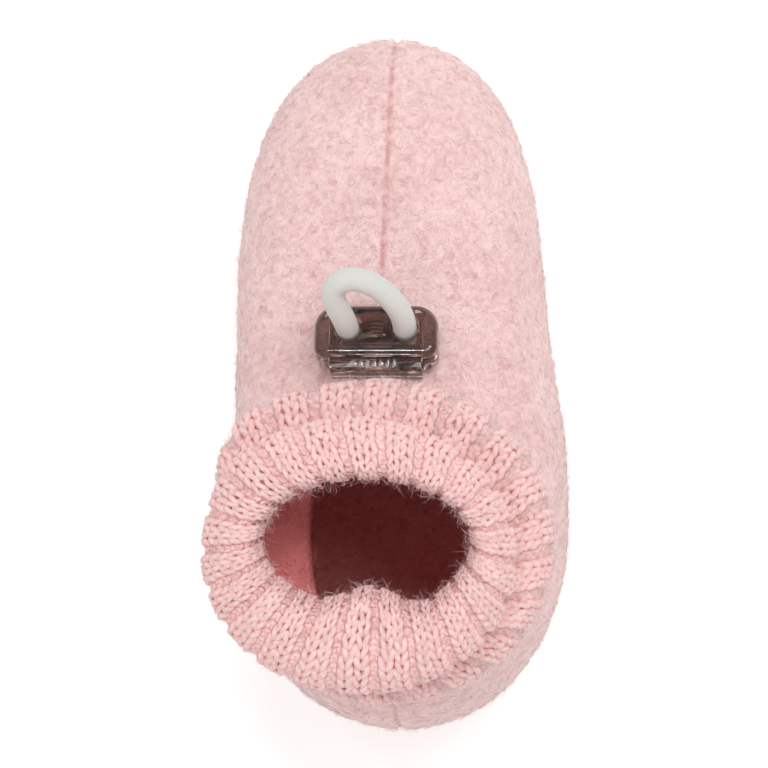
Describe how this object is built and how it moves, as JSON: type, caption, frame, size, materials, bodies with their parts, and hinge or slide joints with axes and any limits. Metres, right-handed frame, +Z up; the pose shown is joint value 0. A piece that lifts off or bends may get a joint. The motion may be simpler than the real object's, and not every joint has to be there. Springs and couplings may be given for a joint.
{
  "type": "baby slipper",
  "caption": "Soft baby slipper: hollow boiled-wool body on a felt sole, slouched rib-knit cuff, and a press-button cord lock on an elastic loop at the instep.",
  "frame": {"origin": "on the floor under the middle of the slipper's bounding box", "axes": "+Y towards the toe, +X to the wearer's right, +Z up"},
  "size_m": [0.0639, 0.1295, 0.0817],
  "materials": {
    "sole_felt": "thick wool felt, matt",
    "insole_felt": "thin wool felt, matt",
    "boiled_wool": "boiled wool, fuzzy",
    "rib_knit": "wool rib knit, soft",
    "elastic_cord": "knitted elastic cord",
    "smoke_plastic": "smoke-tinted clear plastic",
    "smoke_button": "smoke-tinted clear plastic",
    "spring_steel": "bright spring wire"
  },
  "bodies": {
    "slipper": {"sole": "sole_felt", "insole": "insole_felt", "upper": "boiled_wool", "cuff": "rib_knit", "cord_loop": "elastic_cord", "lock_body": "smoke_plastic", "lock_spring": "spring_steel"},
    "plunger": {"lock_plunger": "smoke_button"}
  },
  "joints": [
    {"name": "plunger_press", "type": "slide", "parent": "slipper", "child": "plunger", "axis": [0, 0.9336, -0.3584], "range_m": [0, 0.0014], "stiffness_N_per_m": 300, "springref_m": -0.004, "deforming": ["lock_spring"]}
  ]
}
